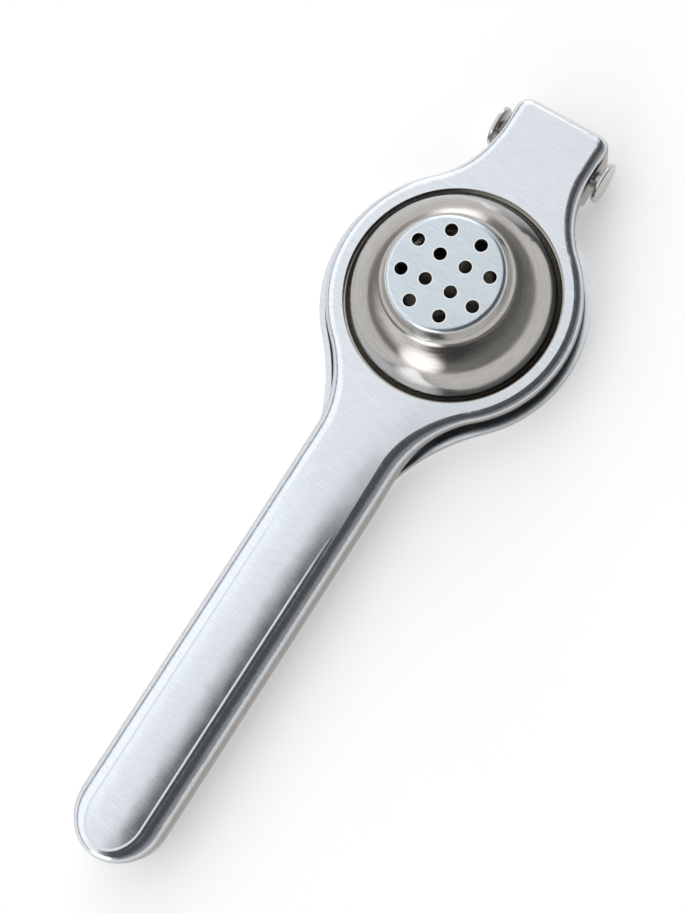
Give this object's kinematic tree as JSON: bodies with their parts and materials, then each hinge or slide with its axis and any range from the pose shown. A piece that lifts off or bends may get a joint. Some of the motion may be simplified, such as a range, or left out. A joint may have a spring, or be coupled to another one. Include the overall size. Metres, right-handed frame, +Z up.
{
  "type": "hinged lemon squeezer",
  "caption": "Hand squeezer of two hinged pressed-steel levers, with a perforated strainer cup in one and a domed press bowl in the other.",
  "frame": {"origin": "middle of the length and width, on the surface that the closed squeezer lies on", "axes": "+X from the handles to the hinge, +Y along the hinge pin, +Z up through the cup's disc"},
  "size_m": [0.215, 0.0684, 0.0318],
  "materials": {
    "brushed_sheet": "brushed",
    "drawn_cup": "fine brushed",
    "pin_steel": "polished"
  },
  "bodies": {
    "press_lever": {"press_arm": "brushed_sheet", "press_bowl": "drawn_cup"},
    "strainer_lever": {"strainer_arm": "brushed_sheet", "strainer_cup": "drawn_cup"},
    "pin": {"hinge_pin": "pin_steel", "hinge_pin_end_head": "pin_steel"}
  },
  "joints": [
    {"name": "lever_hinge", "type": "hinge", "parent": "press_lever", "child": "strainer_lever", "pos_m": [0.099, 0, 0.0065], "axis": [0, 1, 0], "range_deg": [0, 120]},
    {"name": "pin_play", "type": "slide", "parent": "press_lever", "child": "pin", "axis": [0, 1, 0], "range_m": [-0.0015, 0.0015]}
  ]
}
